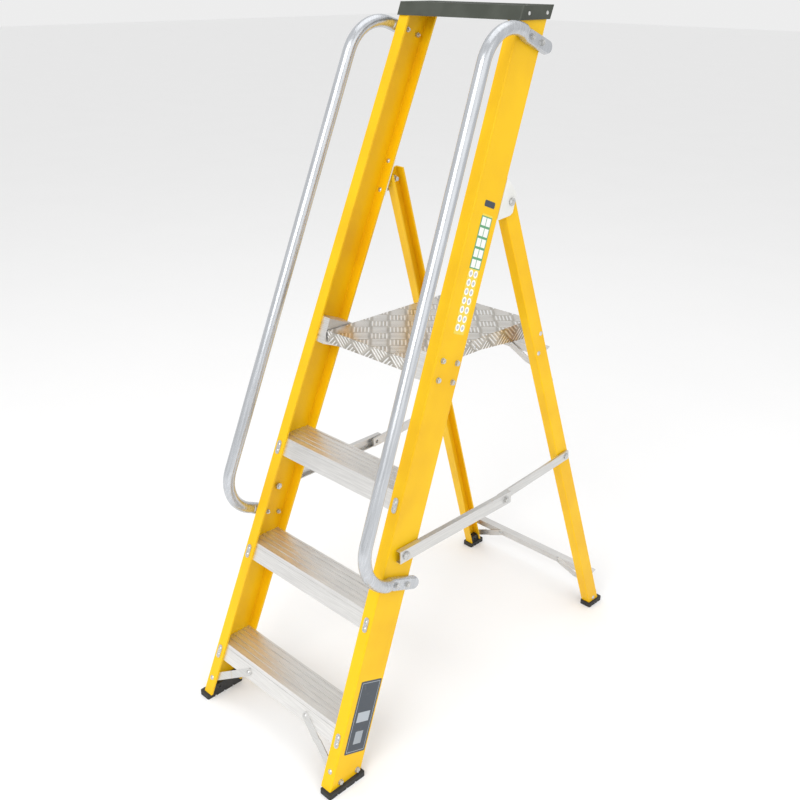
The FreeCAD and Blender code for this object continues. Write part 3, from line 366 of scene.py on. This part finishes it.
def finish_for(name):
    rules = [("front_stile", "stile"), ("rear_leg", "leg"), ("tread_rivet", "zinc"), ("tread_", "tread"),
             ("platform_deck", "deck"), ("platform_bracket_bolts", "zinc"),
             ("platform_bracket", "tread"), ("handrail_bolts", "zinc"), ("handrail_nuts", "zinc"),
             ("handrail", "rail"), ("top_tray", "tray"),
             ("hinge_plate", "white"), ("maker_plate", "navy"), ("small_label", "navy"),
             ("instruction_label", "label"), ("front_foot_bolts", "zinc"), ("rear_foot_rivets", "zinc"),
             ("front_foot", "rubber"), ("rear_foot", "rubber"), ("rear_brace_rivets", "zinc"),
             ("front_brace_rivets", "zinc"), ("rear_brace", "bar"), ("front_brace", "bar"),
             ("rear_crossbar", "bar"), ("stay_front", "stay"), ("stay_rear", "stay")]
    for start, finish in rules:
        if name.startswith(start):
            return finish
    return "zinc"


for name, obj in nodes.items():
    material = finishes[finish_for(name)]
    if not obj.material_slots:
        obj.data.materials.append(material)
    for item in obj.material_slots:
        item.material = material


# ---------------------------------------------------------------- floor, light and camera
def make_floor():
    size = 30.0
    mesh = bpy.data.meshes.new("floor")
    corners = [(-size, -size, 0), (size, -size, 0), (size, size, 0), (-size, size, 0)]
    mesh.from_pydata(corners, [], [(0, 1, 2, 3)])
    floor = bpy.data.objects.new("floor", mesh)
    bpy.context.collection.objects.link(floor)
    s = Shader("floor_pale")
    s.colour(s.mix(s.noise(2.0), (0.93, 0.93, 0.93), (0.95, 0.95, 0.95)))
    s.set(specular=0.1)
    s.surface.inputs["Roughness"].default_value = 0.9
    mesh.materials.append(s.material)


def area_light(name, at, target, size, power, tint=(1, 1, 1)):
    data = bpy.data.lights.new(name, "AREA")
    data.shape = "RECTANGLE"
    data.size, data.size_y = size
    data.energy = power
    data.color = tint
    lamp = bpy.data.objects.new(name, data)
    lamp.location = at
    lamp.rotation_euler = (Vector(target) - Vector(at)).to_track_quat("-Z", "Y").to_euler()
    bpy.context.collection.objects.link(lamp)


def make_world(level):
    world = bpy.data.worlds.new("studio")
    world.use_nodes = True
    background = world.node_tree.nodes["Background"]
    background.inputs["Color"].default_value = (1, 1, 1, 1)
    background.inputs["Strength"].default_value = level
    bpy.context.scene.world = world


def make_camera():
    data = bpy.data.cameras.new("camera")
    data.sensor_width = 36
    data.lens = LENS
    camera = bpy.data.objects.new("camera", data)
    back = Vector((math.sin(AZIMUTH) * math.cos(ELEVATION), -math.cos(AZIMUTH) * math.cos(ELEVATION),
                   math.sin(ELEVATION)))
    right = Vector((math.cos(AZIMUTH), math.sin(AZIMUTH), 0))
    up = back.cross(right)
    rolled_right = math.cos(ROLL) * right + math.sin(ROLL) * up
    rolled_up = math.cos(ROLL) * up - math.sin(ROLL) * right
    turn = Matrix((rolled_right, rolled_up, back)).transposed()
    camera.matrix_world = Matrix.Translation(CAMERA_AT) @ turn.to_4x4()
    bpy.context.collection.objects.link(camera)
    bpy.context.scene.camera = camera


bpy.context.scene.view_settings.view_transform = "Standard"
make_floor()
make_world(0.85)
area_light("key", (0.9, -3.4, 3.0), (0, 0, 0.7), (2.4, 2.4), 75)
area_light("fill", (3.2, -0.6, 2.0), (0, 0, 0.8), (3.0, 3.0), 18)
area_light("top", (0.0, 0.6, 4.2), (0, 0, 0.5), (3.0, 3.0), 25)
make_camera()
